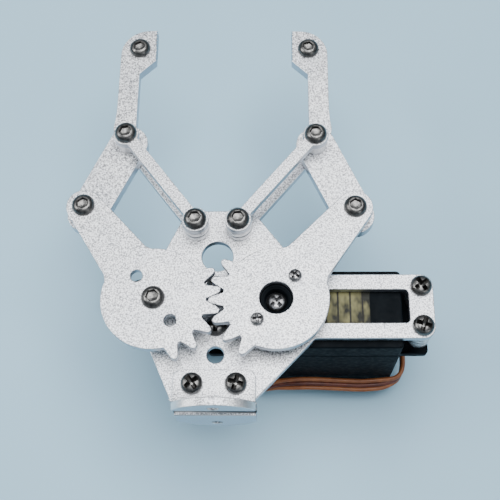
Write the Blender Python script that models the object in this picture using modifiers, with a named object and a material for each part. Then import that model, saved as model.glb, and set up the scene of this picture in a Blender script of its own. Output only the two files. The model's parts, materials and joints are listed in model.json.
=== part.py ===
"""Robot claw: two parallel fingers on toothed arms, driven by a standard-size hobby servo.

X is to the right, Y runs to the fingertips, Z is up. The drive axis is at X = 0, Y = 0, and
the servo's bottom face is at Z = 0. The sizes below are in millimetres, and MM makes them
metres where an object is made.
"""

import math

import bmesh
import bpy
from mathutils import Matrix, Vector

MM = 0.001

# Heights: TOP is the upper face of the base plate, and the layers are measured from it.
TOP = 39.3
SHEET = 2.0
GAP = 0.1
FINGER_THICK = 3.0
FINGER_LOW = TOP - 1.8
UPPER_LINK_LOW = TOP + 4.4
LOWER_LINK_LOW = TOP - 4.15
ARM_LOW = TOP + 4.5

# Linkage, in plan.
GEAR_SPACING = 29.1
MIDLINE = -GEAR_SPACING / 2
ARM_LENGTH = 30.3
REST_ANGLE = {"right": 39.66, "left": 37.46}
SIDE_SIGN = {"right": 1.0, "left": -1.0}
INNER_PIVOT_OUT = 5.27
INNER_PIVOT_Y = 20.25
OUTER_FROM_FINGER_PIVOT = (9.28, -20.25)

# Screws, holes and small hardware (M3).
SHANK_R = 1.45
HOLE_R = 1.65
SOCKET_FLAT = 1.25
NUT_FLAT = 2.75
NUT_HIGH = 2.4
SPACER_R = 3.0
INNER_SPACER_R = 3.2
SMALL_SIDES = 18

# Toothed arms.
TOOTH_STEP = 360.0 / 19
TEETH = range(-2, 4)
FIRST_TOOTH = {"right": 2.0, "left": 11.5}
DISC_R = 12.6
TOOTH_HALF_WIDTHS = (
    (DISC_R, 1.75), (13.6, 1.42), (GEAR_SPACING / 2, 1.12), (15.4, 0.86), (15.9, 0.52), (16.1, 0.0),
)
ARM_END_R = 4.35
ARM_ROOT_HALF = 6.1
ARM_ROOT_AT = 12.0
HORN_SCREW_AT = 7.0

# Servo.
SERVO_X = (-10.2, 30.5)
SERVO_HALF_Y = 9.85
SERVO_TOP = 37.0
BOTTOM_SPLIT = 7.5
TOP_SPLIT = 29.6
WALL = 1.5
EAR_Z = (26.8, 29.3)
EAR_X = (-17.15, 37.35)
EAR_HALF_Y = 9.1
SERVO_SCREW_X = {"inner": -14.5, "outer": 35.0}
SERVO_SCREW_Y = {"front": 5.0, "rear": -5.0}

# Wrist brackets.
BRACKET_HALF = 9.7
BRACKET_FRONT = -16.2
FLANGE_Y = (-25.9, -23.9)
FLANGE_R = 11.7
FLANGE_Z = TOP - 4.0
FLANGE_HALF = 9.75
FLANGE_HOLE_OUT = 7.65
FLANGE_HOLE_R = 1.45
BEND = 1.5
BRACKET_SCREW_OUT = 5.12
BRACKET_SCREW_Y = -19.6

# Servo lead: a tube to the coil, the coil's outer shape, and the plug that leaves it on a tangent.
LEAD_R = 1.2
LEAD_ROUTE = (
    (32.5, 1.9, 7.85), (33.4, 0.7, 7.9), (33.8, -1.6, 7.9), (33.85, -4.6, 7.9), (33.7, -6.8, 7.95),
    (33.1, -8.7, 8.0), (31.6, -10.4, 8.1), (28.4, -11.5, 8.3), (24.8, -11.9, 8.4), (21.6, -12.0, 8.3),
    (15.0, -11.8, 8.7), (8.3, -11.7, 9.3), (1.5, -11.8, 8.6), (-1.2, -12.0, 7.8), (-5.5, -12.6, 6.1),
    (-9.3, -12.0, 4.5), (-12.1, -9.8, 3.2), (-13.4, -6.2, 2.4), (-13.6, -2.8, 2.1), (-13.5, -0.5, 2.0),
)
COIL_CENTRE = (-24.2, 9.5)
COIL_R = (8.8, 11.8)
COIL_Z = (0.05, 7.8)
LEAVES_COIL_AT = 105.0
LEAVES_COIL_R = 11.0
PLUG_SIZE = (14.0, 2.5, 7.55)
PLUG_FROM_COIL = 15.0
PLUG_Z = 4.6
PLUG_DIP = 6.0

# Name: colour, roughness, metallic.
FINISHES = {
    "aluminium": ((0.80, 0.82, 0.85, 1.0), 0.38, 1.0),
    "black_plastic": ((0.02, 0.02, 0.022, 1.0), 0.5, 0.0),
    "black_rubber": ((0.025, 0.025, 0.025, 1.0), 0.75, 0.0),
    "servo_metal": ((0.62, 0.60, 0.55, 1.0), 0.4, 1.0),
    "circuit_board": ((0.02, 0.16, 0.07, 1.0), 0.4, 0.0),
    "lead_wire": ((0.72, 0.30, 0.08, 1.0), 0.45, 0.0),
    "bright_steel": ((0.66, 0.67, 0.69, 1.0), 0.3, 1.0),
    "dark_screw": ((0.09, 0.09, 0.10, 1.0), 0.35, 1.0),
}

claw = bpy.data.collections.new("servo_robot_claw")
cutters = bpy.data.collections.new("cutters")
axes = {}
shared_meshes = {}


# Plan geometry, in millimetres.


def arc(x, y, radius, first, last, steps):
    """Points from one angle to another, in degrees anticlockwise from +X."""
    points = []
    for step in range(steps + 1):
        turn = math.radians(first + (last - first) * step / steps)
        points.append((x + radius * math.cos(turn), y + radius * math.sin(turn)))
    return points


def circle(x, y, radius, sides=24):
    return arc(x, y, radius, 0.0, 360.0, sides)[:-1]


def rounded(corners, steps=5):
    """An outline from corners (x, y, radius), each turned into an arc."""
    points = []
    for index, (x, y, radius) in enumerate(corners):
        corner = Vector((x, y))
        if radius == 0:
            points.append((x, y))
            continue
        back = (Vector(corners[index - 1][:2]) - corner).normalized()
        ahead = (Vector(corners[(index + 1) % len(corners)][:2]) - corner).normalized()
        half = back.angle(ahead) / 2
        reach = radius / math.tan(half)
        centre = corner + (back + ahead).normalized() * (radius / math.sin(half))
        start = corner + back * reach - centre
        end = corner + ahead * reach - centre
        first = math.degrees(math.atan2(start.y, start.x))
        turn = math.degrees(math.atan2(end.y, end.x)) - first
        turn = (turn + 180.0) % 360.0 - 180.0
        points += arc(centre.x, centre.y, radius, first, first + turn, steps)
    return points


def mirrored(points, sign):
    return [(sign * x, y) for x, y in points]


def gear_centre(side):
    return (0.0, 0.0) if side == "right" else (-GEAR_SPACING, 0.0)


def along_arm(side, length=ARM_LENGTH):
    """The offset along an arm from its gear's axis, or along a link from its inner pivot."""
    angle = math.radians(REST_ANGLE[side])
    return SIDE_SIGN[side] * length * math.sin(angle), length * math.cos(angle)


def outer_pivot(side):
    x, y = gear_centre(side)
    step_x, step_y = along_arm(side)
    return x + step_x, y + step_y


def inner_pivot(side):
    return MIDLINE + SIDE_SIGN[side] * INNER_PIVOT_OUT, INNER_PIVOT_Y


# Making objects.


def material(name):
    found = bpy.data.materials.get(name)
    if found:
        return found
    colour, roughness, metallic = FINISHES[name]
    made = bpy.data.materials.new(name)
    made.use_nodes = True
    shader = made.node_tree.nodes["Principled BSDF"]
    shader.inputs["Base Color"].default_value = colour
    shader.inputs["Roughness"].default_value = roughness
    shader.inputs["Metallic"].default_value = metallic
    return made


def placed(thing, name, body, finish, x=0.0, y=0.0, z=0.0):
    """Names a new object, gives it its finish and puts it on a body, at a place from the body's axis."""
    thing.name = name
    thing.data.name = name
    thing.data.materials.clear()
    thing.data.materials.append(material(finish))
    thing.parent = axes[body]
    thing.location = Vector((x, y, z)) * MM
    return thing


def linked(data, collection=claw):
    thing = bpy.data.objects.new(data.name, data)
    collection.objects.link(thing)
    return thing


def flat_plate(loops, thick):
    """A curve object centred on Z = 0: the first loop is its outline and the others are holes."""
    outline = bpy.data.curves.new("plate", "CURVE")
    outline.dimensions = "2D"
    outline.fill_mode = "BOTH"
    outline.extrude = thick / 2 * MM
    for loop in loops:
        spline = outline.splines.new("POLY")
        spline.points.add(len(loop) - 1)
        for point, (x, y) in zip(spline.points, loop):
            point.co = (x * MM, y * MM, 0.0, 1.0)
        spline.use_cyclic_u = True
    return linked(outline)


def turned(profile, sides=SMALL_SIDES, closed=False):
    """A piece turned about Z, from a profile of (radius, height) that runs down its outer side."""
    shape = bpy.data.meshes.new("turned")
    work = bmesh.new()
    verts = [work.verts.new((radius * MM, 0.0, height * MM)) for radius, height in profile]
    for first, second in zip(verts, verts[1:]):
        work.edges.new((first, second))
    if closed:
        work.edges.new((verts[-1], verts[0]))
    work.to_mesh(shape)
    work.free()
    thing = linked(shape)
    screw = thing.modifiers.new("turn", "SCREW")
    screw.steps = sides
    screw.render_steps = sides
    screw.use_merge_vertices = True
    screw.merge_threshold = 1e-5
    return thing


def as_mesh(thing):
    """Replaces an object by its evaluated mesh, placed and turned in the mesh, with its caps welded."""
    bpy.context.view_layer.update()
    mesh = bpy.data.meshes.new_from_object(thing.evaluated_get(bpy.context.evaluated_depsgraph_get()))
    work = bmesh.new()
    work.from_mesh(mesh)
    work.transform(thing.matrix_world)
    bmesh.ops.remove_doubles(work, verts=work.verts, dist=1e-6)
    bmesh.ops.recalc_face_normals(work, faces=work.faces)
    work.to_mesh(mesh)
    work.free()
    made = linked(mesh)
    bpy.data.objects.remove(thing)
    return made


def combined(body, other, operation):
    """A body cut or joined by another solid, with the Boolean applied."""
    cutters.objects.link(other)
    claw.objects.unlink(other)
    other.hide_render = True
    other.display_type = "WIRE"
    boolean = body.modifiers.new(operation.lower(), "BOOLEAN")
    boolean.operation = operation
    boolean.solver = "EXACT"
    boolean.object = other
    made = as_mesh(body)
    bpy.data.objects.remove(other)
    return made


def smooth(thing):
    thing.data.shade_smooth()
    thing.data.set_sharp_from_angle(angle=math.radians(35))
    return thing


def raised(thing, z):
    thing.location.z = z * MM
    return thing


# Fasteners, each with its head's underside or its upper face at Z = 0.


def copy_of(make, key):
    """An object whose mesh is a copy of one that is made once for every piece with the same key."""
    if key not in shared_meshes:
        first = smooth(as_mesh(make()))
        shared_meshes[key] = first.data
        bpy.data.objects.remove(first)
    return linked(shared_meshes[key].copy())


def button_screw(length):
    """A button-head screw with a hexagon socket."""
    profile = [
        (0, 1.65), (1.65, 1.65), (2.1, 1.4), (2.6, 0.95), (2.85, 0.3), (2.8, 0), (SHANK_R, 0),
        (SHANK_R, 0.35 - length), (1.15, -length), (0, -length),
    ]
    socket = flat_plate([circle(0, 0, SOCKET_FLAT / math.cos(math.pi / 6), 6)], 2.4)
    return combined(as_mesh(turned(profile)), as_mesh(raised(socket, 1.65)), "DIFFERENCE")


def pan_screw(length, shank=SHANK_R, head=2.6, high=1.9):
    """A pan-head screw."""
    dome = [(0, high), (0.5 * head, 0.96 * high), (0.87 * head, 0.75 * high), (head, 0.4 * high), (head, 0)]
    return turned([*dome, (shank, 0), (shank, 0.35 - length), (0.75 * shank, -length), (0, -length)])


def nut():
    hexagon = circle(0, 0, NUT_FLAT / math.cos(math.pi / 6), 6)
    return raised(flat_plate([hexagon, circle(0, 0, HOLE_R, SMALL_SIDES)], NUT_HIGH), -NUT_HIGH / 2)


def spacer(low, high, radius=SPACER_R):
    return turned([(radius, high), (radius, low), (HOLE_R, low), (HOLE_R, high)], closed=True)


def add_button_screw(name, body, x, y, under_head, length):
    screw = copy_of(lambda: button_screw(length), ("button", length))
    placed(screw, name, body, "dark_screw", x, y, under_head)


def add_nut(name, body, x, y, top):
    placed(copy_of(nut, "nut"), name, body, "bright_steel", x, y, top)


def add_spacer(name, body, x, y, low, high, radius=SPACER_R):
    placed(smooth(as_mesh(spacer(low, high, radius))), name, body, "bright_steel", x, y, 0.0)


# The pieces.


def add_axes():
    """One empty on each moving body's joint axis, and one at the origin for what is fixed."""
    places = {"base": (0.0, 0.0)}
    for side in SIDE_SIGN:
        places[side + "_arm"] = gear_centre(side)
        places[side + "_finger"] = outer_pivot(side)
        places[side + "_link"] = inner_pivot(side)
    for body, (x, y) in places.items():
        axes[body] = bpy.data.objects.new(body + "_axis", None)
        axes[body].empty_display_size = 4 * MM
        axes[body].location = (x * MM, y * MM, 0.0)
        claw.objects.link(axes[body])


def add_base_plate():
    corners = [
        (MIDLINE + 8.65, 25.35, 5.0),
        (MIDLINE - 8.02, 25.35, 4.4),
        (MIDLINE - 20.36, -0.75, 5.3),
        (MIDLINE - 10.13, -23.5, 0.5),
        (MIDLINE + 8.99, -23.5, 0.5),
        (MIDLINE + 23.77, -8.1, 1.0),
        (37.95, -8.1, 3.0),
        (37.95, 8.13, 3.0),
        (MIDLINE + 21.79, 8.13, 1.0),
    ]
    window_half = 4.2
    window_end = 31.95
    round_r = 7.4
    edge = math.degrees(math.asin(window_half / round_r))
    window = arc(0, 0, round_r, edge, 360.0 - edge, 30)
    window += arc(window_end - 1.0, 1.0 - window_half, 1.0, -90.0, 0.0, 4)
    window += arc(window_end - 1.0, window_half - 1.0, 1.0, 0.0, 90.0, 4)
    loops = [rounded(corners, 8), window, circle(MIDLINE, 12.99, 3.9, 32), circle(MIDLINE, -12.11, 2.05)]
    for side, sign in SIDE_SIGN.items():
        loops.append(circle(*inner_pivot(side), HOLE_R, 16))
        loops.append(circle(MIDLINE + sign * BRACKET_SCREW_OUT, BRACKET_SCREW_Y, HOLE_R, 16))
    loops.append(circle(*gear_centre("left"), HOLE_R, 16))
    for x in SERVO_SCREW_X.values():
        for y in SERVO_SCREW_Y.values():
            loops.append(circle(x, y, HOLE_R, 16))
    placed(flat_plate(loops, SHEET), "base_plate", "base", "aluminium", z=TOP - SHEET / 2)


def add_wrist_bracket(name, sign):
    """One tab bent into half of the round flange: sign is 1 above the plate and -1 below it."""
    face = TOP + GAP if sign > 0 else TOP - SHEET - GAP
    tab_corners = [
        (-BRACKET_HALF, FLANGE_Y[0] + BEND, 0),
        (BRACKET_HALF, FLANGE_Y[0] + BEND, 0),
        (BRACKET_HALF, BRACKET_FRONT, 2.0),
        (-BRACKET_HALF, BRACKET_FRONT, 2.0),
    ]
    screw_holes = [circle(step * BRACKET_SCREW_OUT, BRACKET_SCREW_Y, HOLE_R, 16) for step in (-1, 1)]
    tab = as_mesh(raised(flat_plate([rounded(tab_corners), *screw_holes], SHEET), face + sign * SHEET / 2))
    starts = face + sign * BEND - FLANGE_Z
    side_angle = math.degrees(math.acos(FLANGE_HALF / FLANGE_R))
    top = arc(0, 0, FLANGE_R, side_angle, 180.0 - side_angle, 20)
    outline = [(FLANGE_HALF, sign * starts), *top, (-FLANGE_HALF, sign * starts)]
    if sign < 0:
        outline = [(x, -z) for x, z in reversed(outline)]
    flange = flat_plate([outline, circle(0, sign * FLANGE_HOLE_OUT, FLANGE_HOLE_R, 16)], SHEET)
    flange.rotation_euler = (math.radians(90), 0, 0)
    flange.location = Vector((0, sum(FLANGE_Y) / 2, FLANGE_Z)) * MM
    bracket = combined(tab, as_mesh(flange), "UNION")
    placed(bracket, name, "base", "aluminium", x=MIDLINE)


def gear_arm_outline(side):
    """The toothed arm about its own axis, drawn as the right one and then mirrored."""
    arm_angle = 90.0 - REST_ANGLE[side]
    points = []
    for index in TEETH:
        middle = 180.0 + FIRST_TOOTH[side] + TOOTH_STEP * index
        flank = [(radius, math.degrees(half / radius)) for radius, half in TOOTH_HALF_WIDTHS]
        rising = [(radius, middle - turn) for radius, turn in flank]
        falling = [(radius, middle + turn) for radius, turn in flank[-2::-1]]
        for radius, angle in rising + falling:
            points += arc(0, 0, radius, angle, angle, 1)[:1]
    after_teeth = 180.0 + FIRST_TOOTH[side] + TOOTH_STEP * TEETH[-1] + 12.0
    before_teeth = 180.0 + FIRST_TOOTH[side] + TOOTH_STEP * TEETH[0] - 12.0
    root_angle = math.degrees(math.asin(ARM_ROOT_HALF / DISC_R)) + 4.0
    along = Vector((math.cos(math.radians(arm_angle)), math.sin(math.radians(arm_angle))))
    across = Vector((-along.y, along.x))
    end = along * ARM_LENGTH
    points += arc(0, 0, DISC_R, after_teeth, 360.0 + arm_angle - root_angle, 16)
    points.append(tuple(along * ARM_ROOT_AT - across * ARM_ROOT_HALF))
    points += arc(end.x, end.y, ARM_END_R, arm_angle - 84.5, arm_angle + 84.5, 14)
    points.append(tuple(along * ARM_ROOT_AT + across * ARM_ROOT_HALF))
    points += arc(0, 0, DISC_R, arm_angle + root_angle, before_teeth, 8)
    return mirrored(points, SIDE_SIGN[side])


def add_gear_arm(side):
    centre_hole = 4.0 if side == "right" else HOLE_R
    small_hole = 1.0 if side == "right" else 1.5
    loops = [gear_arm_outline(side), circle(0, 0, centre_hole), circle(*along_arm(side), HOLE_R, 16)]
    for reach in (-HORN_SCREW_AT, HORN_SCREW_AT):
        loops.append(circle(*along_arm(side, reach), small_hole, 14))
    placed(flat_plate(loops, SHEET), side + "_gear_arm", side + "_arm", "aluminium", z=ARM_LOW + SHEET / 2)


def add_link(side, level, low):
    """A bar with a round eye at each end."""
    end_x, end_y = along_arm(side)
    heading = math.degrees(math.atan2(end_y, end_x))
    eye_r = 3.25
    half_bar = 1.5
    neck = math.degrees(math.asin(half_bar / eye_r))
    outline = arc(0, 0, eye_r, heading + neck, heading + 360.0 - neck, 20)
    outline += arc(end_x, end_y, eye_r, heading - 180.0 + neck, heading + 180.0 - neck, 20)
    loops = [outline, circle(0, 0, HOLE_R, 16), circle(end_x, end_y, HOLE_R, 16)]
    name = side + "_" + level + "_link"
    placed(flat_plate(loops, SHEET), name, side + "_link", "aluminium", z=low + SHEET / 2)


def finger_outline():
    """The right finger about its link pivot, anticlockwise from its outer pivot."""
    bar_r = 4.85
    bar_x, bar_y = 0.32, 0.14
    outer_x, outer_y = OUTER_FROM_FINGER_PIVOT
    lean = math.degrees(math.atan2(outer_x, -outer_y))
    points = arc(outer_x + bar_x, outer_y + bar_y, bar_r, 180.0 + lean, 360.0 + lean, 14)
    points += arc(bar_x, bar_y, bar_r, lean, lean + 12.0, 2)
    points += [(4.45, 4.6), (4.05, 7.45), (3.85, 10.7)]
    points += arc(-3.65, 27.55, 7.5, 0.0, 90.0, 9)
    tip_y = 35.05
    face_x = -5.85
    serration_deep = 0.35
    serration_step = 1.06
    points.append((face_x, tip_y))
    for index in range(9):
        points.append((face_x + serration_deep, tip_y - serration_step * (index + 0.5)))
        points.append((face_x, tip_y - serration_step * (index + 1)))
    neck_x = -1.5
    points.append((neck_x, 21.3))
    fillet = 1.5
    fillet_y = math.sqrt((bar_r + fillet) ** 2 - (neck_x - fillet) ** 2)
    meets = math.degrees(math.atan2(fillet_y, neck_x - fillet))
    points += arc(neck_x - fillet, fillet_y, fillet, 0.0, meets - 180.0, 4)
    points += arc(0, 0, bar_r, meets + 4.0, 180.0 + lean - 6.0, 7)
    return points


def add_finger(side):
    sign = SIDE_SIGN[side]
    outer_x, outer_y = OUTER_FROM_FINGER_PIVOT
    tip_screw = (-1.3, 29.2)
    loops = [finger_outline()]
    loops += [circle(x, y, HOLE_R, 16) for x, y in ((0, 0), OUTER_FROM_FINGER_PIVOT, tip_screw)]
    loops = [[(sign * (x - outer_x), y - outer_y) for x, y in loop] for loop in loops]
    body = side + "_finger"
    placed(flat_plate(loops, FINGER_THICK), body, body, "aluminium", z=FINGER_LOW + FINGER_THICK / 2)
    screw_x = sign * (tip_screw[0] - outer_x)
    screw_y = tip_screw[1] - outer_y
    under_head = FINGER_LOW + FINGER_THICK + GAP
    add_button_screw(side + "_fingertip_screw", body, screw_x, screw_y, under_head, 4.0)


def add_pivots():
    finger_top = FINGER_LOW + FINGER_THICK
    for side in SIDE_SIGN:
        finger_body = side + "_finger"
        add_button_screw(side + "_outer_pivot_screw", finger_body, 0, 0, ARM_LOW + SHEET + GAP, 12.0)
        add_spacer(side + "_outer_pivot_spacer", finger_body, 0, 0, finger_top + GAP, ARM_LOW - GAP)
        add_nut(side + "_outer_pivot_nut", finger_body, 0, 0, FINGER_LOW - GAP)
        x, y = inner_pivot(side)
        add_button_screw(side + "_inner_pivot_screw", "base", x, y, UPPER_LINK_LOW + SHEET + GAP, 14.0)
        low, high = TOP + GAP, UPPER_LINK_LOW - GAP
        add_spacer(side + "_inner_pivot_spacer", "base", x, y, low, high, INNER_SPACER_R)
        add_nut(side + "_inner_pivot_nut", "base", x, y, LOWER_LINK_LOW - GAP)
        link_body = side + "_link"
        x, y = along_arm(side)
        add_button_screw(side + "_finger_pivot_screw", link_body, x, y, UPPER_LINK_LOW + SHEET + GAP, 10.0)
        add_spacer(side + "_finger_pivot_spacer", link_body, x, y, finger_top + GAP, UPPER_LINK_LOW - GAP)
    x, y = gear_centre("left")
    add_button_screw("left_gear_screw", "base", x, y, ARM_LOW + SHEET + GAP, 12.0)
    add_spacer("left_gear_spacer", "base", x, y, TOP + GAP, ARM_LOW - GAP)
    add_nut("left_gear_nut", "base", x, y, TOP - SHEET - GAP)


def add_plate_screws():
    standoff_r = 2.75
    close = GAP / 2
    for along, x in SERVO_SCREW_X.items():
        for across, y in SERVO_SCREW_Y.items():
            where = along + "_" + across
            screw = copy_of(lambda: pan_screw(16.0), "servo screw")
            placed(screw, "servo_screw_" + where, "base", "dark_screw", x, y, TOP + close)
            low, high = EAR_Z[1] + close, TOP - SHEET - close
            add_spacer("servo_standoff_" + where, "base", x, y, low, high, standoff_r)
            add_nut("servo_nut_" + where, "base", x, y, EAR_Z[0] - GAP)
    under_head = TOP + SHEET + 2 * GAP
    for side, sign in SIDE_SIGN.items():
        screw = copy_of(lambda: pan_screw(8.0), "bracket screw")
        x = MIDLINE + sign * BRACKET_SCREW_OUT
        placed(screw, "bracket_screw_" + side, "base", "dark_screw", x, BRACKET_SCREW_Y, under_head)


def case_outline(inset, radius):
    left, right = SERVO_X[0] + inset, SERVO_X[1] - inset
    half = SERVO_HALF_Y - inset
    corners = [(left, -half, radius), (right, -half, radius), (right, half, radius), (left, half, radius)]
    return rounded(corners, 4)


def case_block(low, high, inset=0.0):
    """A solid block of the case's outline, or of its inside."""
    block = flat_plate([case_outline(inset, 1.0 if inset == 0.0 else 0.6)], high - low)
    return as_mesh(raised(block, (low + high) / 2))


def add_servo_case():
    floor = 1.5
    clear = 1.0
    bottom = case_block(0, BOTTOM_SPLIT)
    bottom = combined(bottom, case_block(floor, BOTTOM_SPLIT + clear, WALL), "DIFFERENCE")
    placed(bottom, "servo_case_bottom", "base", "black_plastic")

    middle = case_block(BOTTOM_SPLIT + GAP, TOP_SPLIT)
    middle = combined(middle, case_block(BOTTOM_SPLIT - clear, TOP_SPLIT + clear, WALL), "DIFFERENCE")
    into_wall = 0.8
    ear_ends = ((SERVO_X[0] + into_wall, EAR_X[0], "inner"), (SERVO_X[1] - into_wall, EAR_X[1], "outer"))
    for near, far, end in ear_ends:
        half = EAR_HALF_Y
        corners = [(near, -half, 0), (far, -half, 1.0), (far, half, 1.0), (near, half, 0)]
        holes = [circle(SERVO_SCREW_X[end], y, 2.1, 16) for y in SERVO_SCREW_Y.values()]
        ear = raised(flat_plate([rounded(corners, 4), *holes], EAR_Z[1] - EAR_Z[0]), sum(EAR_Z) / 2)
        middle = combined(middle, as_mesh(ear), "UNION")
    placed(middle, "servo_case_middle", "base", "black_plastic")

    roof = SERVO_TOP - 1.5
    boss_r, bore_r = 6.2, 3.2
    boss_low, boss_top = roof + 0.3, 38.3
    top = case_block(TOP_SPLIT + GAP, SERVO_TOP)
    top = combined(top, case_block(TOP_SPLIT - clear, roof, WALL), "DIFFERENCE")
    boss = raised(flat_plate([circle(0, 0, boss_r, 32)], boss_top - boss_low), (boss_top + boss_low) / 2)
    top = combined(top, as_mesh(boss), "UNION")
    bore = raised(flat_plate([circle(0, 0, bore_r)], boss_top - roof + 2 * clear), (boss_top + roof) / 2)
    top = combined(top, as_mesh(bore), "DIFFERENCE")
    placed(top, "servo_case_top", "base", "black_plastic")


def add_servo_inside():
    motor = turned([(0, 28.0), (1.0, 28.0), (1.0, 25.5), (6.0, 25.5), (6.0, 9.0), (0, 9.0)], 24)
    placed(smooth(as_mesh(motor)), "servo_motor", "base", "servo_metal", x=18.5)
    inset = 2.5
    board_low, board_high = 3.2, 4.8
    board = flat_plate([case_outline(inset, 0.6)], board_high - board_low)
    placed(board, "servo_circuit_board", "base", "circuit_board", z=(board_low + board_high) / 2)


def add_drive():
    """The servo's output shaft with its last gear, the horn on it, and their screws."""
    socket = [(0, 35.0), (1.3, 35.0), (1.3, 40.9)]
    shaft = turned([*socket, (2.9, 40.9), (2.9, 33.5), (7.5, 33.5), (7.5, 31.0), (0, 31.0)], 24)
    placed(smooth(as_mesh(shaft)), "servo_output_shaft", "right_arm", "servo_metal")
    disc_low, disc_high = 41.9, 43.5
    screw_x, screw_y = along_arm("right", HORN_SCREW_AT)
    loops = [circle(0, 0, 10.0, 40), circle(0, 0, 2.9, 20)]
    loops += [circle(step * screw_x, step * screw_y, 0.95, 12) for step in (-1, 1)]
    disc = as_mesh(raised(flat_plate(loops, disc_high - disc_low), (disc_low + disc_high) / 2))
    into_disc = disc_low + 0.6
    hub = turned(
        [(4.3, into_disc), (4.3, 38.8), (3.1, 38.8), (3.1, 41.0), (1.6, 41.0), (1.6, 41.7), (2.75, 41.7),
         (2.75, into_disc)],
        20, closed=True,
    )
    horn = combined(disc, as_mesh(hub), "UNION")
    placed(smooth(horn), "servo_horn", "right_arm", "black_plastic")
    centre = smooth(as_mesh(pan_screw(6.0, 1.15, 2.35, 1.4)))
    placed(centre, "horn_screw", "right_arm", "bright_steel", z=41.8)
    under_head = ARM_LOW + SHEET + GAP
    for name, step in (("gear_screw_front", 1), ("gear_screw_rear", -1)):
        screw = copy_of(lambda: pan_screw(4.5, 0.8, 1.6, 1.1), "gear screw")
        placed(screw, name, "right_arm", "bright_steel", step * screw_x, step * screw_y, under_head)


def smooth_route(points, parts=2):
    """Points on a smooth curve through the given ones (Catmull-Rom)."""
    route = [Vector(point) for point in points]
    route = [2 * route[0] - route[1], *route, 2 * route[-1] - route[-2]]
    found = []
    for a, b, c, d in zip(route, route[1:], route[2:], route[3:]):
        for part in range(parts):
            t = part / parts
            cubic = (-a + 3 * b - 3 * c + d) * t**3 + (2 * a - 5 * b + 4 * c - d) * t**2
            found.append((cubic + (c - a) * t + 2 * b) / 2)
    return [*found, route[-2]]


def add_lead():
    grommet_y, grommet_z = 2.0, 7.8
    grommet_thick = 1.0
    corners = [(-2.8, -1.9, 0.8), (2.8, -1.9, 0.8), (2.8, 1.9, 0.8), (-2.8, 1.9, 0.8)]
    grommet = flat_plate([rounded(corners, 3)], grommet_thick)
    grommet_x = SERVO_X[1] + GAP + grommet_thick / 2
    placed(grommet, "cable_grommet", "base", "black_rubber", grommet_x, grommet_y, grommet_z)
    grommet.rotation_euler = (math.radians(90), 0, math.radians(90))

    wire = bpy.data.curves.new("servo_lead", "CURVE")
    wire.dimensions = "3D"
    wire.bevel_depth = LEAD_R * MM
    wire.bevel_resolution = 2
    wire.use_fill_caps = True
    spline = wire.splines.new("POLY")
    route = smooth_route(LEAD_ROUTE)
    spline.points.add(len(route) - 1)
    for point, place in zip(spline.points, route):
        point.co = (*(place * MM), 1.0)
    placed(linked(wire), "servo_lead", "base", "lead_wire")

    inner, outer = COIL_R
    low, high = COIL_Z
    coil = turned([(outer, high), (outer, low), (inner, low), (inner, high)], 40, closed=True)
    placed(smooth(as_mesh(coil)), "lead_coil", "base", "lead_wire", *COIL_CENTRE)

    bpy.ops.mesh.primitive_cube_add(size=1.0)
    plug = bpy.context.object
    for home in list(plug.users_collection):
        home.objects.unlink(plug)
    claw.objects.link(plug)
    plug.data.transform(Matrix.Diagonal((*(Vector(PLUG_SIZE) * MM), 1.0)))
    angle = math.radians(LEAVES_COIL_AT)
    plug_x = COIL_CENTRE[0] + LEAVES_COIL_R * math.cos(angle) - PLUG_FROM_COIL * math.sin(angle)
    plug_y = COIL_CENTRE[1] + LEAVES_COIL_R * math.sin(angle) + PLUG_FROM_COIL * math.cos(angle)
    placed(plug, "lead_plug", "base", "black_plastic", plug_x, plug_y, PLUG_Z)
    plug.rotation_euler = (0, math.radians(PLUG_DIP), angle + math.radians(90))


def main():
    for thing in list(bpy.data.objects):
        bpy.data.objects.remove(thing)
    bpy.context.scene.collection.children.link(claw)
    bpy.context.scene.collection.children.link(cutters)
    add_axes()
    add_base_plate()
    add_wrist_bracket("wrist_bracket_upper", 1)
    add_wrist_bracket("wrist_bracket_lower", -1)
    for side in SIDE_SIGN:
        add_gear_arm(side)
        add_link(side, "upper", UPPER_LINK_LOW)
        add_link(side, "lower", LOWER_LINK_LOW)
        add_finger(side)
    add_pivots()
    add_plate_screws()
    add_servo_case()
    add_servo_inside()
    add_drive()
    add_lead()


main()
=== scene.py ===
"""Looks of the servo-driven robot claw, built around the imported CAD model.

X is to the right, Y runs to the fingertips and Z is up. Lengths are in millimetres until MM makes
them metres. A piece that stands for a CAD node takes its place and its body from that node.
"""

import json
import math

import bmesh
import bpy
from mathutils import Matrix, Vector


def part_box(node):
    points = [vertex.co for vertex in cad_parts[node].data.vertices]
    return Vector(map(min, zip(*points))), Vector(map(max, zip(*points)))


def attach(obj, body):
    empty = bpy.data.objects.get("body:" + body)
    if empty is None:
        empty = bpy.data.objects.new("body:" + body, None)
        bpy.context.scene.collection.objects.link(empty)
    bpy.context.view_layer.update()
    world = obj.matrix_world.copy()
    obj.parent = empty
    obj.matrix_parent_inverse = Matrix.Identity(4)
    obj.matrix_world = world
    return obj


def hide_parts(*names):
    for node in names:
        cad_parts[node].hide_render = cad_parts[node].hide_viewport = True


MM = 0.001

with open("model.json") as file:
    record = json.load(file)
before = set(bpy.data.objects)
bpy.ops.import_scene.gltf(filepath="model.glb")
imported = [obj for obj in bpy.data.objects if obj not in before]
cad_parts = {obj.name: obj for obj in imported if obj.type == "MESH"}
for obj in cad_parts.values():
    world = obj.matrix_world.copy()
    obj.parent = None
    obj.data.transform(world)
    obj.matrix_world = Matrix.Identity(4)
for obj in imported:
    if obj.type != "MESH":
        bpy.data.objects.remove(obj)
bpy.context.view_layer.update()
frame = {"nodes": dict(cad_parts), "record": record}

SIDES = ("right", "left")
BODY_OF = {node: body for body, nodes in frame["record"]["behaviour"]["bodies"].items() for node in nodes}

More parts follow.
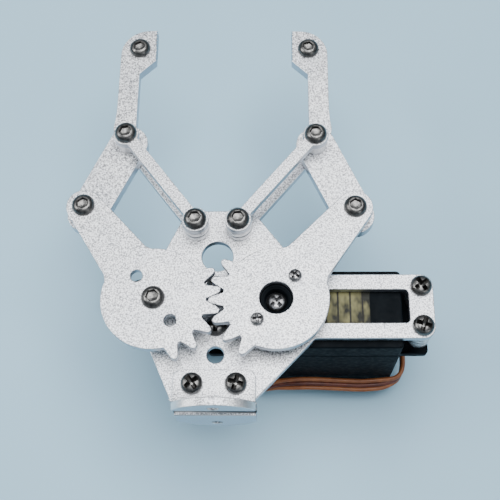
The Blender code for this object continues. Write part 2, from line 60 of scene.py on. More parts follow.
# Camera, in metres: a steep view over the claw's wrist.
CAMERA_AT = (0.0011, -0.0685, 0.2441)
CAMERA_LOOKS = (-0.0345, 0.3760, -0.9260)
CAMERA_RIGHT = (0.9994, 0.0090, -0.0335)
CAMERA_LENS = 64.2

# Servo lead: the route that the CAD tube has, and then a coil of two layers with two turns in each.
LEAD_EXIT = (31.5, 2.0, 7.8)
LEAD_ROUTE = (
    (32.5, 1.9, 7.85), (33.4, 0.7, 7.9), (33.8, -1.6, 7.9), (33.85, -4.6, 7.9), (33.7, -6.8, 7.95),
    (33.1, -8.7, 8.0), (31.6, -10.4, 8.1), (28.4, -11.5, 8.3), (24.8, -11.9, 8.4), (21.6, -12.0, 8.3),
    (15.0, -11.8, 8.7), (8.3, -11.7, 9.3), (1.5, -11.8, 8.6), (-1.2, -12.0, 7.8), (-5.5, -12.6, 6.1),
    (-9.3, -12.0, 4.5), (-12.1, -9.8, 3.2), (-13.4, -6.2, 2.4), (-13.6, -2.8, 2.1), (-13.5, -0.5, 2.0),
)
WIRE_R = 0.62
WIRE_STEP = 1.96 * WIRE_R
WIRE_SIDES = 10

# The ribbon stands on edge. It leans back, by so many degrees, between these lengths along it.
LEAN = 52.0
LEAN_STARTS = (12.0, 20.0)
LEAN_STOPS = (40.0, 54.0)

# The coil: the degrees turned at which the lead moves in a turn, climbs a layer, moves out and ends.
# The plug stands on edge past the coil's end and dips by so many degrees.
COIL_CENTRE = (-24.2, 9.5)
COIL_OUTER_R = 11.0
COIL_INNER_R = 9.55
COIL_LOW_Z = 2.0
COIL_HIGH_Z = 5.85
COIL_MOVES_IN = (290.0, 350.0)
COIL_CLIMBS = (590.0, 650.0)
COIL_MOVES_OUT = (880.0, 940.0)
COIL_ENDS = 1185.0
PLUG_FROM_COIL = 15.0
PLUG_SIZE = (14.0, 2.5, 7.55)
PLUG_Z = 4.6
PLUG_DIP = 6.0

# Servo.
SERVO_TOP = 37.0
LABEL_MIDDLE_X = 14.6
LABEL_HALF = (8.1, 7.5)

# M3 hardware. The fastener kinds are set out further down.
SHANK_R = 1.45
HOLE_R = 1.65
THREAD_PITCH = 0.5
THREAD_DEEP = 0.16
THREAD_STARTS = -0.02
SOCKET_FLAT = 1.25
NUT_FLAT = 2.75
SPACER_RING = 2.1

# Faces that meet at less than this many degrees are shaded as one smooth surface.
SMOOTH_UNDER = 38.0

# Studio, in metres.
FLOOR_HALF = 2.0
FLOOR_Z = -0.0002
LIGHTS_AIM_AT = (-0.01, 0.01, 0.03)


# Materials.


def start_material(name, metallic, roughness, colour):
    """A new material, its node tree and its shader."""
    made = bpy.data.materials.new(name)
    made.use_nodes = True
    shader = made.node_tree.nodes["Principled BSDF"]
    shader.inputs["Metallic"].default_value = metallic
    shader.inputs["Roughness"].default_value = roughness
    shader.inputs["Base Color"].default_value = (*colour, 1.0)
    return made, made.node_tree, shader


def coordinates(tree, kind="Object"):
    return tree.nodes.new("ShaderNodeTexCoord").outputs[kind]


def noise(tree, across, detail=2.0, stretch=(1.0, 1.0, 1.0)):
    """Noise about so many millimetres across, drawn out along an axis where stretch is over 1."""
    placing = tree.nodes.new("ShaderNodeMapping")
    placing.inputs["Scale"].default_value = [1.0 / long for long in stretch]
    tree.links.new(coordinates(tree), placing.inputs["Vector"])
    texture = tree.nodes.new("ShaderNodeTexNoise")
    texture.inputs["Scale"].default_value = 1.0 / (across * MM)
    texture.inputs["Detail"].default_value = detail
    tree.links.new(placing.outputs["Vector"], texture.inputs["Vector"])
    return texture.outputs["Fac"]


def spread(tree, value, low, high, bottom, top):
    """A value from low to high, stretched to run from bottom to top."""
    mapped = tree.nodes.new("ShaderNodeMapRange")
    tree.links.new(value, mapped.inputs["Value"])
    for socket, number in (("From Min", low), ("From Max", high), ("To Min", bottom), ("To Max", top)):
        mapped.inputs[socket].default_value = number
    return mapped.outputs["Result"]


def patches(tree, across, detail=2.0, bottom=0.0, top=1.0):
    """Soft patches about so many millimetres across, from bottom to top."""
    return spread(tree, noise(tree, across, detail), 0.3, 0.7, bottom, top)


def blended(tree, factor, first, second):
    """A colour between two, each a colour or another node's output."""
    mixed = tree.nodes.new("ShaderNodeMix")
    mixed.data_type = "RGBA"
    tree.links.new(factor, mixed.inputs["Factor"])
    for socket, colour in ((mixed.inputs[6], first), (mixed.inputs[7], second)):
        if isinstance(colour, tuple):
            socket.default_value = (*colour, 1.0)
        else:
            tree.links.new(colour, socket)
    return mixed.outputs[2]


def multiplied(tree, first, second):
    """The product of two colours."""
    mixed = tree.nodes.new("ShaderNodeMix")
    mixed.data_type = "RGBA"
    mixed.blend_type = "MULTIPLY"
    mixed.inputs["Factor"].default_value = 1.0
    tree.links.new(first, mixed.inputs[6])
    tree.links.new(second, mixed.inputs[7])
    return mixed.outputs[2]


def calculated(tree, operation, first, second):
    """A sum on two values, each a number or another node's output."""
    node = tree.nodes.new("ShaderNodeMath")
    node.operation = operation
    for socket, value in zip(node.inputs, (first, second)):
        if isinstance(value, float):
            socket.default_value = value
        else:
            tree.links.new(value, socket)
    return node.outputs["Value"]


def bumped(tree, shader, height, deep, strength=1.0):
    """Raises the surface by a height from 0 to 1, times so many millimetres."""
    bump = tree.nodes.new("ShaderNodeBump")
    bump.inputs["Distance"].default_value = deep * MM
    bump.inputs["Strength"].default_value = strength
    tree.links.new(height, bump.inputs["Height"])
    tree.links.new(bump.outputs["Normal"], shader.inputs["Normal"])


def upright(tree, low, high):
    """0 on a sheet's cut edges and 1 on its flat faces, and between them over the rounded edges."""
    parts = tree.nodes.new("ShaderNodeSeparateXYZ")
    tree.links.new(coordinates(tree, "Normal"), parts.inputs["Vector"])
    return spread(tree, calculated(tree, "ABSOLUTE", parts.outputs["Z"], 0.0), low, high, 0.0, 1.0)


def sandblasted_aluminium():
    """Grainy faces, rounded rims painted near white as a painted highlight, and smoother cut edges painted a
    darker blue-grey as a painted reflection of the floor.
    """
    made, tree, shader = start_material("sandblasted_aluminium", 1.0, 0.42, (0.85, 0.86, 0.88))
    grain = noise(tree, 0.36)
    grain_tone = spread(tree, grain, 0.36, 0.60, 0.0, 1.0)
    speckle = blended(tree, grain_tone, (0.20, 0.205, 0.22), (0.96, 0.965, 0.98))
    clouds = blended(tree, patches(tree, 9.0), (0.90, 0.91, 0.93), (1.0, 1.0, 1.0))
    # Painted light by surface tilt: upright faces are painted a darker blue-grey as a painted reflection of
    # the blue floor, and the rounded rims are painted near white as a painted highlight.
    edges = blended(tree, upright(tree, 0.15, 0.60), (0.50, 0.54, 0.60), (0.98, 0.99, 1.0))
    faces = upright(tree, 0.80, 0.97)
    tone = blended(tree, faces, edges, multiplied(tree, speckle, clouds))
    tree.links.new(tone, shader.inputs["Base Color"])
    rough = spread(tree, grain, 0.3, 0.7, 0.40, 0.60)
    smoother_edges = calculated(tree, "MULTIPLY", calculated(tree, "SUBTRACT", 1.0, faces), 0.12)
    tree.links.new(calculated(tree, "SUBTRACT", rough, smoother_edges), shader.inputs["Roughness"])
    bumped(tree, shader, noise(tree, 0.26), 0.05)
    return made


def moulded_plastic():
    """Matt black plastic with a fine moulded grain."""
    made, tree, shader = start_material("moulded_black_plastic", 0.0, 0.5, (0.010, 0.011, 0.013))
    shader.inputs["Specular IOR Level"].default_value = 0.03
    tone = blended(tree, patches(tree, 6.0), (0.002, 0.0035, 0.005), (0.005, 0.007, 0.009))
    tree.links.new(tone, shader.inputs["Base Color"])
    tree.links.new(patches(tree, 1.2, 3.0, 0.42, 0.62), shader.inputs["Roughness"])
    bumped(tree, shader, noise(tree, 0.22), 0.012, 0.6)
    return made


def soft_rubber():
    """Dull black rubber, a little greyer where it is rubbed."""
    made, tree, shader = start_material("soft_black_rubber", 0.0, 0.75, (0.02, 0.02, 0.02))
    tone = blended(tree, patches(tree, 1.5, 3.0), (0.014, 0.014, 0.014), (0.040, 0.038, 0.036))
    tree.links.new(tone, shader.inputs["Base Color"])
    bumped(tree, shader, noise(tree, 0.3), 0.02)
    return made


def brushed_metal(name, dark, light, rough, stretch):
    """Bare metal with fine marks, drawn out along an axis where stretch is over 1."""
    made, tree, shader = start_material(name, 1.0, sum(rough) / 2, light)
    marks = noise(tree, 0.5, 3.0, stretch)
    tone = blended(tree, spread(tree, marks, 0.3, 0.7, 0.0, 1.0), dark, light)
    tree.links.new(tone, shader.inputs["Base Color"])
    tree.links.new(patches(tree, 1.4, 2.0, *rough), shader.inputs["Roughness"])
    bumped(tree, shader, marks, 0.008, 0.5)
    return made


def circuit_board():
    """Green solder mask over paler tracks that run in squares."""
    made, tree, shader = start_material("circuit_board", 0.0, 0.35, (0.02, 0.16, 0.07))
    tracks = tree.nodes.new("ShaderNodeTexBrick")
    tracks.inputs["Scale"].default_value = 1.0 / (3.0 * MM)
    tracks.inputs["Mortar Size"].default_value = 0.06
    tree.links.new(coordinates(tree), tracks.inputs["Vector"])
    tone = blended(tree, tracks.outputs["Fac"], (0.015, 0.13, 0.055), (0.06, 0.30, 0.12))
    tree.links.new(tone, shader.inputs["Base Color"])
    bumped(tree, shader, tracks.outputs["Fac"], 0.03)
    return made


def wire_insulation(name, dark, light):
    """Soft satin plastic on a wire."""
    made, tree, shader = start_material(name, 0.0, 0.4, light)
    tree.links.new(blended(tree, patches(tree, 2.2, 3.0), dark, light), shader.inputs["Base Color"])
    tree.links.new(patches(tree, 0.8, 2.0, 0.34, 0.52), shader.inputs["Roughness"])
    bumped(tree, shader, noise(tree, 0.5), 0.02, 0.6)
    return made


def label_foil():
    """Dull brass foil, mottled dark, with thin dark rules across the servo."""
    made, tree, shader = start_material("label_foil", 0.0, 0.5, (0.10, 0.09, 0.04))
    shader.inputs["Specular IOR Level"].default_value = 0.12
    blotches = noise(tree, 2.6, 2.0, (1.0, 1.8, 1.0))
    worn = spread(tree, blotches, 0.44, 0.64, 0.0, 1.0)
    gold = blended(tree, worn, (0.012, 0.013, 0.009), (0.19, 0.178, 0.08))
    rules = tree.nodes.new("ShaderNodeTexWave")
    rules.bands_direction = "X"
    rules.inputs["Scale"].default_value = 105.0
    rules.inputs["Distortion"].default_value = 0.0
    tree.links.new(coordinates(tree), rules.inputs["Vector"])
    lines = spread(tree, rules.outputs["Fac"], 0.01, 0.10, 0.0, 1.0)
    tree.links.new(blended(tree, lines, (0.010, 0.010, 0.008), gold), shader.inputs["Base Color"])
    tree.links.new(patches(tree, 0.6, 2.0, 0.34, 0.52), shader.inputs["Roughness"])
    return made


MATERIALS = {
    "aluminium": sandblasted_aluminium(),
    "black_plastic": moulded_plastic(),
    "black_rubber": soft_rubber(),
    "circuit_board": circuit_board(),
    "lead_wire": wire_insulation("orange_insulation", (0.19, 0.057, 0.016), (0.31, 0.108, 0.034)),
}
for metal, dark_tone, light_tone, roughnesses, drawn_out in (
    ("servo_metal", (0.50, 0.48, 0.43), (0.74, 0.71, 0.64), (0.25, 0.40), (1.0, 1.0, 12.0)),
    ("bright_steel", (0.60, 0.61, 0.63), (0.88, 0.89, 0.90), (0.30, 0.46), (1.0, 1.0, 1.0)),
    ("bright_screw", (0.20, 0.20, 0.205), (0.42, 0.42, 0.425), (0.28, 0.42), (1.0, 1.0, 1.0)),
    ("dark_screw", (0.08, 0.08, 0.082), (0.20, 0.195, 0.185), (0.28, 0.42), (1.0, 1.0, 1.0)),
):
    MATERIALS[metal] = brushed_metal(metal, dark_tone, light_tone, roughnesses, drawn_out)
RED_BROWN_WIRE = wire_insulation("red_brown_insulation", (0.060, 0.012, 0.007), (0.14, 0.030, 0.014))
LABEL_FOIL = label_foil()


# Making pieces.


def to_mesh(work, name="shape"):
    """A mesh from work, with its faces turned outwards."""
    bmesh.ops.recalc_face_normals(work, faces=work.faces)
    mesh = bpy.data.meshes.new(name)
    work.to_mesh(mesh)
    work.free()
    return mesh


def add_piece(name, mesh, body, finish, at=(0.0, 0.0, 0.0), turn=0.0, stands_for=()):
    """Shows a mesh as a piece on a body, at a place in millimetres and turned about Z by so many degrees."""
    mesh.transform(Matrix.Translation(Vector(at) * MM) @ Matrix.Rotation(math.radians(turn), 4, "Z"))
    mesh.materials.clear()
    mesh.materials.append(MATERIALS[finish])
    mesh.shade_smooth()
    mesh.set_sharp_from_angle(angle=math.radians(SMOOTH_UNDER))
    piece = bpy.data.objects.new(name, mesh)
    bpy.context.scene.collection.objects.link(piece)
    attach(piece, body)
    if stands_for:
        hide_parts(*stands_for)
    return piece


def rounded_edges(piece, width, segments=3, over=70.0):
    """Rounds the edges where faces turn by more than over degrees. Flat faces stay flat in shading."""
    bevel = piece.modifiers.new("rounded edges", "BEVEL")
    bevel.width = width * MM
    bevel.segments = segments
    bevel.limit_method = "ANGLE"
    bevel.angle_limit = math.radians(over)
    bevel.use_clamp_overlap = False
    bevel.harden_normals = True
    return piece


def node_mesh(node):
    """A CAD node's surface, with no more points and edges than its shape needs."""
    work = bmesh.new()
    work.from_mesh(frame["nodes"][node].data)
    bmesh.ops.remove_doubles(work, verts=work.verts, dist=0.001 * MM)
    bmesh.ops.dissolve_limit(work, angle_limit=math.radians(1), verts=work.verts, edges=work.edges)
    bmesh.ops.triangulate(work, faces=[face for face in work.faces if len(face.verts) > 4])
    return work


def finished_node(node, finish, width=0.3, segments=3):
    """A CAD node's shape with the rounded edges and finish that the real piece has."""
    piece = add_piece(node + "_finished", to_mesh(node_mesh(node)), BODY_OF[node], finish, stands_for=[node])
    return rounded_edges(piece, width, segments)


def lathe(profile, sides=36, closed=False, shape=None):
    """A surface turned about Z from (radius, height) points. shape changes a radius by height and angle."""
    work = bmesh.new()
    rings = []
    for radius, height in profile:
        ring = []
        for step in range(sides if radius else 1):
            angle = 2 * math.pi * step / sides
            reach = shape(radius, height, angle) if shape else radius
            point = Vector((reach * math.cos(angle), reach * math.sin(angle), height))
            ring.append(work.verts.new(point * MM))
        rings.append(ring)
    pairs = list(zip(rings, rings[1:]))
    if closed:
        pairs.append((rings[-1], rings[0]))
    for upper, lower in pairs:
        for step in range(sides):
            after = step + 1
            corners = (upper[step % len(upper)], lower[step % len(lower)])
            corners += (lower[after % len(lower)], upper[after % len(upper)])
            corners = list(dict.fromkeys(corners))
            if len(corners) > 2:
                work.faces.new(corners)
    return to_mesh(work)


def lofted(levels):
    """A closed solid through outlines of equal count, each ([(x, y), ...], height)."""
    work = bmesh.new()
    rings = [[work.verts.new(Vector((x, y, height)) * MM) for x, y in outline] for outline, height in levels]
    work.faces.new(rings[0])
    work.faces.new(reversed(rings[-1]))
    for upper, lower in zip(rings, rings[1:]):
        for index in range(len(upper)):
            work.faces.new((upper[index - 1], lower[index - 1], lower[index], upper[index]))
    return to_mesh(work)


def ring_points(radius, sides):
    """A regular outline with so many corners, the first on X."""
    angles = [2 * math.pi * step / sides for step in range(sides)]
    return [(radius * math.cos(angle), radius * math.sin(angle)) for angle in angles]


def box_points(half_x, half_y, x=0.0, y=0.0):
    """The corners of a rectangle round a middle point."""
    left, right, near, far = x - half_x, x + half_x, y - half_y, y + half_y
    return [(left, near), (right, near), (right, far), (left, far)]


def cross_points(arm, half):
    """The outline of a cross with four arms."""
    points = []
    for quarter in range(4):
        turn = Matrix.Rotation(math.pi / 2 * quarter, 2)
        points += [tuple(turn @ Vector(point)) for point in ((arm, -half), (arm, half), (half, half))]
    return points


def cut(mesh, *cutters):
    """A mesh with the shapes of others taken out of it."""
    body = bpy.data.objects.new("cut_body", mesh)
    bpy.context.scene.collection.objects.link(body)
    others = []
    for cutter in cutters:
        other = bpy.data.objects.new("cutter", cutter)
        bpy.context.scene.collection.objects.link(other)
        boolean = body.modifiers.new("cut", "BOOLEAN")
        boolean.operation = "DIFFERENCE"
        boolean.object = other
        boolean.solver = "EXACT"
        others.append(other)
    bpy.context.view_layer.update()
    made = bpy.data.meshes.new_from_object(body.evaluated_get(bpy.context.evaluated_depsgraph_get()))
    for thing in (body, *others):
        bpy.data.objects.remove(thing)
    return made


# Fasteners, each with its head's underside, or a nut's upper face, at height 0.


def thread(radius):
    """A lathe shape that cuts a helical thread into the shank under a head."""
    def shape(reach, height, angle):
        if height > THREAD_STARTS or reach < radius - 0.01:
            return reach
        phase = (height / THREAD_PITCH - angle / (2 * math.pi)) % 1.0
        return reach - THREAD_DEEP * abs(2 * phase - 1)
    return shape


def shank(length, radius):
    """Profile points down a threaded shank to its blunt end."""
    rows_a_turn = 4
    first_row = 0.05
    blunt_end = 0.45
    end_r = 0.72 * radius
    step = THREAD_PITCH / rows_a_turn
    rows = int((length - blunt_end) / step)
    points = [(radius, -first_row - step * row) for row in range(rows + 1)]
    return [*points, (end_r, -length), (0, -length)]


def button_screw(length):
    """A domed head with a hexagon socket."""
    dome = [(0, 1.65), (1.55, 1.65), (1.75, 1.62), (2.05, 1.46), (2.35, 1.21), (2.62, 0.86), (2.78, 0.5)]
    dome += [(2.84, 0.22), (2.80, 0.06), (2.70, 0), (SHANK_R, 0)]
    body = lathe([*dome, *shank(length, SHANK_R)], shape=thread(SHANK_R))
    corner = SOCKET_FLAT / math.cos(math.pi / 6)
    levels = ((corner + 0.32, 1.75), (corner, 1.48), (corner, 0.55), (0.25, 0.2))
    return cut(body, lofted([(ring_points(reach, 6), height) for reach, height in levels]))


def cross_screw(length, radius, head, high):
    """A pan head of a radius and height, with a cross recess that narrows downwards."""
    dome = [(0, 1.0), (0.35, 0.99), (0.6, 0.93), (0.8, 0.79), (0.93, 0.58), (1.0, 0.3)]
    dome += [(0.99, 0.1), (0.96, 0)]
    profile = [(reach * head, part * high) for reach, part in dome]
    body = lathe([*profile, (radius, 0), *shank(length, radius)], shape=thread(radius))
    levels = ((0.76, 0.25, 1.1), (0.70, 0.20, 0.84), (0.56, 0.12, 0.30), (0.12, 0.06, -0.1))
    recess = [(cross_points(arm * head, half * head), part * high) for arm, half, part in levels]
    return cut(body, lofted(recess))


def nut():
    """A hexagon nut with its corners turned off at both faces."""
    high = 2.4
    corner = NUT_FLAT / math.cos(math.pi / 6)
    lead_in = 0.25
    limits = [(2.62, 0.0), (2.82, 0.08), (3.0, 0.2), (corner, 0.38)]
    profile = [(HOLE_R + lead_in, 0), *((reach, -drop) for reach, drop in limits)]
    profile += [(reach, drop - high) for reach, drop in reversed(limits)]
    profile += [(HOLE_R + lead_in, -high), (HOLE_R, lead_in - high), (HOLE_R, -lead_in)]

    def shape(reach, height, angle):
        facing = (angle + math.pi / 6) % (math.pi / 3) - math.pi / 6
        return min(reach, NUT_FLAT / math.cos(facing)) if reach > HOLE_R + lead_in else reach
    return lathe(profile, 48, closed=True, shape=shape)


def spacer(low, high, radius):
    """Turned rings in a stack, as tall as its gap, with a groove between each two."""
    tall = high - low
    rings = max(1, round(tall / SPACER_RING))
    pitch = tall / rings
    edge = 0.12
    groove = 0.24
    waist = radius - 0.7
    profile = []
    for ring in range(rings):
        top = high - ring * pitch - (groove if ring else 0.0)
        bottom = high - (ring + 1) * pitch + (groove if ring < rings - 1 else 0.0)
        if ring:
            profile.append((waist, top))
        profile += [(radius - edge, top), (radius, top - edge)]
        profile += [(radius, bottom + edge), (radius - edge, bottom)]
        if ring < rings - 1:
            profile.append((waist, bottom))
    return lathe([*profile, (HOLE_R, low), (HOLE_R, high)], 40, closed=True)


def centre_of(node):
    """A node's middle, in millimetres."""
    low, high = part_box(node)
    return (low + high) / (2 * MM)


def reach_of(node):
    """A node's lowest and highest point and half its width, in millimetres."""
    low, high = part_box(node)
    return low.z / MM, high.z / MM, (high.x - low.x) / (2 * MM)


def kind_of(node):
    """Which kind of fastener a CAD node is, or None."""
    if "spacer" in node or "standoff" in node:
        return "spacer"
    if node.endswith("_nut") or "_nut_" in node:
        return "nut"
    if "pivot_screw" in node or "fingertip_screw" in node or node == "left_gear_screw":
        return "button"
    if node.startswith(("servo_screw", "bracket_screw")):
        return "pan"
    if node.startswith("gear_screw"):
        return "small_pan"
    return "horn_pan" if node == "horn_screw" else None


# Each kind's finish, and each screw's head height.
FINISH_OF = {
    "spacer": "bright_steel", "nut": "bright_steel", "button": "dark_screw", "pan": "dark_screw",
    "small_pan": "bright_screw", "horn_pan": "bright_screw",
}
HEAD_HIGH = {"button": 1.65, "pan": 1.9, "small_pan": 1.1, "horn_pan": 1.4}
MAKER_OF = {
    "spacer": spacer,
    "nut": nut,
    "button": button_screw,
    "pan": lambda length: cross_screw(length, SHANK_R, 2.6, HEAD_HIGH["pan"]),
    "small_pan": lambda length: cross_screw(length, 0.8, 1.6, HEAD_HIGH["small_pan"]),
    "horn_pan": lambda length: cross_screw(length, 1.15, 2.35, HEAD_HIGH["horn_pan"]),
}


def add_fasteners():
    """Every screw, nut and spacer, at its CAD node's place, each turned by a different angle."""
    turn_each = 37.0
    made = {}
    for index, node in enumerate(sorted(frame["nodes"])):
        kind = kind_of(node)
        if kind is None:
            continue
        low, high, half = reach_of(node)
        if kind == "spacer":
            at_height, sizes = 0.0, (low, high, half)
        elif kind == "nut":
            at_height, sizes = high, ()
        else:
            at_height = high - HEAD_HIGH[kind]
            sizes = (at_height - low,)
        key = (kind, *(round(size, 3) for size in sizes))
        if key not in made:
            made[key] = MAKER_OF[kind](*key[1:])
        x, y = centre_of(node)[:2]
        add_piece(
            node + "_turned", made[key].copy(), BODY_OF[node], FINISH_OF[kind],
            at=(x, y, at_height), turn=turn_each * index, stands_for=[node],
        )


# Sheet metal.


def add_sheet_metal():
    """The plate, brackets, toothed arms, fingers and links, with their cut edges rounded."""
    finished_node("base_plate", "aluminium", 0.25)
    for level in ("upper", "lower"):
        finished_node("wrist_bracket_" + level, "aluminium", 0.22)
    for side in SIDES:
        finished_node(side + "_gear_arm", "aluminium", 0.22)
        finished_node(side + "_finger", "aluminium", 0.12)
        for level in ("upper", "lower"):
            finished_node(side + "_" + level + "_link", "aluminium", 0.22)


# Servo.


def add_servo():
    """The case, horn and grommet with rounded edges, and finishes for the parts inside."""
    for part, width in (("bottom", 0.45), ("middle", 0.35), ("top", 0.4)):
        finished_node("servo_case_" + part, "black_plastic", width)
    finished_node("servo_horn", "black_plastic", 0.15, 2)
    finished_node("cable_grommet", "black_rubber", 0.3, 2)
    for node, finish in (
        ("servo_motor", "servo_metal"),
        ("servo_output_shaft", "servo_metal"),
        ("servo_circuit_board", "circuit_board"),
    ):
        for material_slot in frame["nodes"][node].material_slots:
            material_slot.link = "OBJECT"
            material_slot.material = MATERIALS[finish]


def add_horn_rings():
    """The stepped rings round the horn's screw, inside the right gear's large hole."""
    low = reach_of("servo_horn")[1] - 0.15
    steps = [
        (3.75, 0.0), (3.75, 0.75), (3.65, 0.85), (3.3, 0.85),
        (3.2, 0.75), (3.2, 0.45), (2.95, 0.4), (2.95, 0.0),
    ]
    profile = [(radius, low + rise) for radius, rise in steps]
    add_piece("servo_horn_rings", lathe(profile, 48, closed=True), "right_arm", "black_plastic")


def add_label():
    """The foil label on the servo's top, seen through the plate's window."""
    proud = 0.08
    sunk = 0.05
    outline = box_points(*LABEL_HALF, LABEL_MIDDLE_X)
    foil = lofted([(outline, SERVO_TOP + proud), (outline, SERVO_TOP - sunk)])
    label = add_piece("servo_label", foil, "base", "black_plastic")
    label.data.materials[0] = LABEL_FOIL


# Servo lead.


def eased(value, start, end):
    """0 before start and 1 after end, and smooth between them."""
    part = min(max((value - start) / (end - start), 0.0), 1.0)
    return part * part * (3 - 2 * part)


def smooth_route(points, parts=4):
    """Points on a smooth curve through the given ones (Catmull-Rom)."""
    route = [Vector(point) for point in points]
    route = [2 * route[0] - route[1], *route, 2 * route[-1] - route[-2]]
    found = []
    for a, b, c, d in zip(route, route[1:], route[2:], route[3:]):
        for part in range(parts):
            t = part / parts
            curve = (-a + 3 * b - 3 * c + d) * t**3 + (2 * a - 5 * b + 4 * c - d) * t**2
            found.append((curve + (c - a) * t + 2 * b) / 2)
    return [*found, route[-2]]


def coil_point(turned_by):
    """A point of the coil, after so many degrees anticlockwise from where the lead enters it."""
    pitch = COIL_OUTER_R - COIL_INNER_R
    radius = COIL_OUTER_R - pitch * (eased(turned_by, *COIL_MOVES_IN) - eased(turned_by, *COIL_MOVES_OUT))
    height = COIL_LOW_Z + (COIL_HIGH_Z - COIL_LOW_Z) * eased(turned_by, *COIL_CLIMBS)
    angle = math.radians(turned_by)
    x, y = COIL_CENTRE
    return Vector((x + radius * math.cos(angle), y + radius * math.sin(angle), height))


def coil_end():
    """Where the lead leaves the coil, and the level direction it leaves in."""
    angle = math.radians(COIL_ENDS)
    return coil_point(COIL_ENDS), Vector((-math.sin(angle), math.cos(angle), 0.0))


def lead_path():
    """The whole lead's centreline, in millimetres."""
    coil_step = 6.0
    plug_steps = 6
    into_housing = 1.2
    route = smooth_route([LEAD_EXIT, *LEAD_ROUTE, coil_point(0.0), coil_point(40.0)])
    enters = coil_point(0.0)
    # The route's last points lie on the coil, to head it the right way, and are left out.
    beside_servo = enters.x + 5.0
    path = [point for point in route if point.y < enters.y or point.x > beside_servo]
    path += [coil_point(coil_step * step) for step in range(int(COIL_ENDS / coil_step) + 1)]
    leaves, direction = coil_end()
    into_plug = PLUG_FROM_COIL - PLUG_SIZE[0] / 2 + into_housing
    for step in range(1, plug_steps + 1):
        gone = into_plug * step / plug_steps
        drop = 0.5 * math.tan(math.radians(PLUG_DIP)) * gone * gone / into_plug
        path.append(leaves + direction * gone - Vector((0.0, 0.0, drop)))
    return path


def across_ribbon(ahead, run):
    """The direction from wire to wire where the ribbon heads ahead, after so many millimetres."""
    level = ahead.cross(Vector((0, 0, 1))).normalized()
    standing = level.cross(ahead).normalized()
    lean = math.radians(LEAN) * (eased(run, *LEAN_STARTS) - eased(run, *LEAN_STOPS))
    return (standing * math.cos(lean) + level * math.sin(lean)).normalized()


def ribbon_rows(work, path):
    """A row of points round the three wires at each point of the path."""
    run = 0.0
    rows = []
    for index, place in enumerate(path):
        before, after = path[max(index - 1, 0)], path[min(index + 1, len(path) - 1)]
        ahead = (after - before).normalized()
        if index:
            run += (place - path[index - 1]).length
        across = across_ribbon(ahead, run)
        out = across.cross(ahead)
        row = []
        for wire in (-1, 0, 1):
            middle = place + across * (wire * WIRE_STEP)
            for side in range(WIRE_SIDES):
                angle = 2 * math.pi * side / WIRE_SIDES
                offset = (across * math.cos(angle) + out * math.sin(angle)) * WIRE_R
                row.append(work.verts.new((middle + offset) * MM))
        rows.append(row)
    return rows


def ribbon(path):
    """Three round wires side by side along a path, and the numbers of the middle wire's faces."""
    work = bmesh.new()
    rows = ribbon_rows(work, path)
    middle_faces = []

    def add_face(wire, corners):
        if wire == 1:
            middle_faces.append(len(work.faces))
        work.faces.new(corners)

    for first, second in zip(rows, rows[1:]):
        for wire in range(3):
            start = wire * WIRE_SIDES
            for side in range(WIRE_SIDES):
                here, there = start + side, start + (side + 1) % WIRE_SIDES
                add_face(wire, (first[here], first[there], second[there], second[here]))
    for row in (rows[0], rows[-1]):
        for wire in range(3):
            add_face(wire, row[wire * WIRE_SIDES:(wire + 1) * WIRE_SIDES])
    return to_mesh(work), middle_faces


def add_lead():
    """The three-wire lead along its whole route, with its middle wire in red-brown."""
    path = lead_path()
    mesh, middle_faces = ribbon(path)
    lead = add_piece("lead_ribbon", mesh, "base", "lead_wire", stands_for=["servo_lead", "lead_coil"])
    lead.data.materials.append(RED_BROWN_WIRE)
    for index in middle_faces:
        lead.data.polygons[index].material_index = 1
    add_plug()


def add_plug():
    """The three-way socket housing on the lead's end."""
    long, thick, wide = PLUG_SIZE
    pin_step = 2.54
    pin_half = 0.42
    bevel = 0.25
    outline = box_points(long / 2, wide / 2)
    bevelled = box_points(long / 2, wide / 2 - bevel)
    housing = lofted([(bevelled, thick / 2), (outline, thick / 2 - bevel), (outline, -thick / 2)])
    cutters = []
    for pin in (-1, 0, 1):
        mouth = box_points(4.0, pin_half, long / 2 - 1.5, pin * pin_step)
        latch = box_points(1.3, 0.55, -1.0, pin * pin_step)
        cutters.append(lofted([(mouth, pin_half), (mouth, -pin_half)]))
        cutters.append(lofted([(latch, thick / 2 + 0.2), (latch, thick / 2 - 0.5)]))
    mesh = cut(housing, *cutters)
    leaves, direction = coil_end()
    place = leaves + direction * PLUG_FROM_COIL
    heading = math.atan2(direction.y, direction.x)
    turn = Matrix.Rotation(heading, 4, "Z") @ Matrix.Rotation(math.radians(PLUG_DIP), 4, "Y")
    on_edge = Matrix.Rotation(math.radians(90), 4, "X")
    mesh.transform(Matrix.Translation(Vector((place.x, place.y, PLUG_Z)) * MM) @ turn @ on_edge)
    plug = add_piece("lead_connector", mesh, "base", "black_plastic", stands_for=["lead_plug"])
    return rounded_edges(plug, 0.12, 2, 80.0)


# Studio.


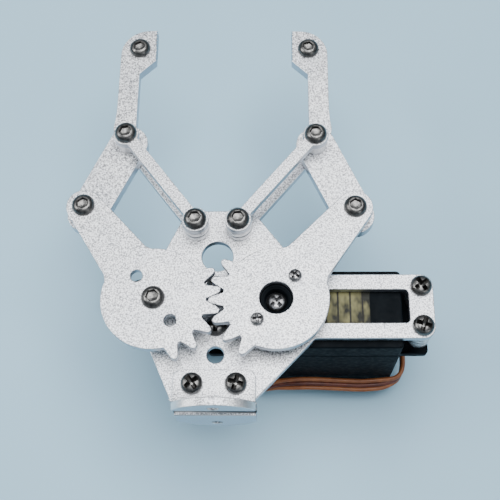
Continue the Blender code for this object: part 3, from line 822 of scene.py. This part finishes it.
def add_camera():
    """A camera at the photograph's viewing angle."""
    ahead = Vector(CAMERA_LOOKS).normalized()
    right = Vector(CAMERA_RIGHT).normalized()
    up = right.cross(ahead).normalized()
    right = ahead.cross(up)
    data = bpy.data.cameras.new("camera")
    data.lens = CAMERA_LENS
    camera = bpy.data.objects.new("camera", data)
    camera.matrix_world = Matrix.Translation(CAMERA_AT) @ Matrix((right, up, -ahead)).transposed().to_4x4()
    bpy.context.scene.collection.objects.link(camera)
    bpy.context.scene.camera = camera


def add_light(name, place, size, power, colour=(1.0, 1.0, 1.0)):
    """A soft square light that looks at the claw."""
    data = bpy.data.lights.new(name, "AREA")
    data.size = size
    data.energy = power
    data.color = colour
    light = bpy.data.objects.new(name, data)
    light.location = place
    light.rotation_euler = (Vector(LIGHTS_AIM_AT) - Vector(place)).to_track_quat("-Z", "Y").to_euler()
    bpy.context.scene.collection.objects.link(light)


def add_floor():
    """Plain pale blue paper under the claw."""
    work = bmesh.new()
    work.faces.new([work.verts.new((x, y, FLOOR_Z)) for x, y in box_points(FLOOR_HALF, FLOOR_HALF)])
    floor = bpy.data.objects.new("floor", to_mesh(work, "floor"))
    made, tree, shader = start_material("floor_paper", 0.0, 0.85, (0.36, 0.57, 0.71))
    tone = blended(tree, patches(tree, 60.0), (0.35, 0.56, 0.70), (0.37, 0.58, 0.72))
    tree.links.new(tone, shader.inputs["Base Color"])
    floor.data.materials.append(made)
    bpy.context.scene.collection.objects.link(floor)


def add_world():
    """A pale room that is dim at the horizon and brighter overhead."""
    world = bpy.data.worlds.new("studio")
    world.use_nodes = True
    tree = world.node_tree
    background = tree.nodes["Background"]
    background.inputs["Color"].default_value = (0.80, 0.90, 1.0, 1.0)
    direction = tree.nodes.new("ShaderNodeSeparateXYZ")
    tree.links.new(coordinates(tree, "Generated"), direction.inputs["Vector"])
    strength = spread(tree, direction.outputs["Z"], 0.0, 0.9, 0.05, 0.42)
    tree.links.new(strength, background.inputs["Strength"])
    bpy.context.scene.world = world


def add_lights():
    """A large soft light overhead and two weaker ones from the left and the front."""
    add_light("overhead", (0.06, 0.08, 0.58), 0.42, 4.9)
    add_light("left", (-0.42, 0.02, 0.36), 0.22, 1.5)
    add_light("front", (0.34, -0.36, 0.30), 0.24, 0.4, (0.95, 0.97, 1.0))


add_camera()
add_lead()
add_floor()
add_world()
add_lights()
add_sheet_metal()
add_fasteners()
add_servo()
add_horn_rings()
add_label()

bpy.context.view_layer.update()
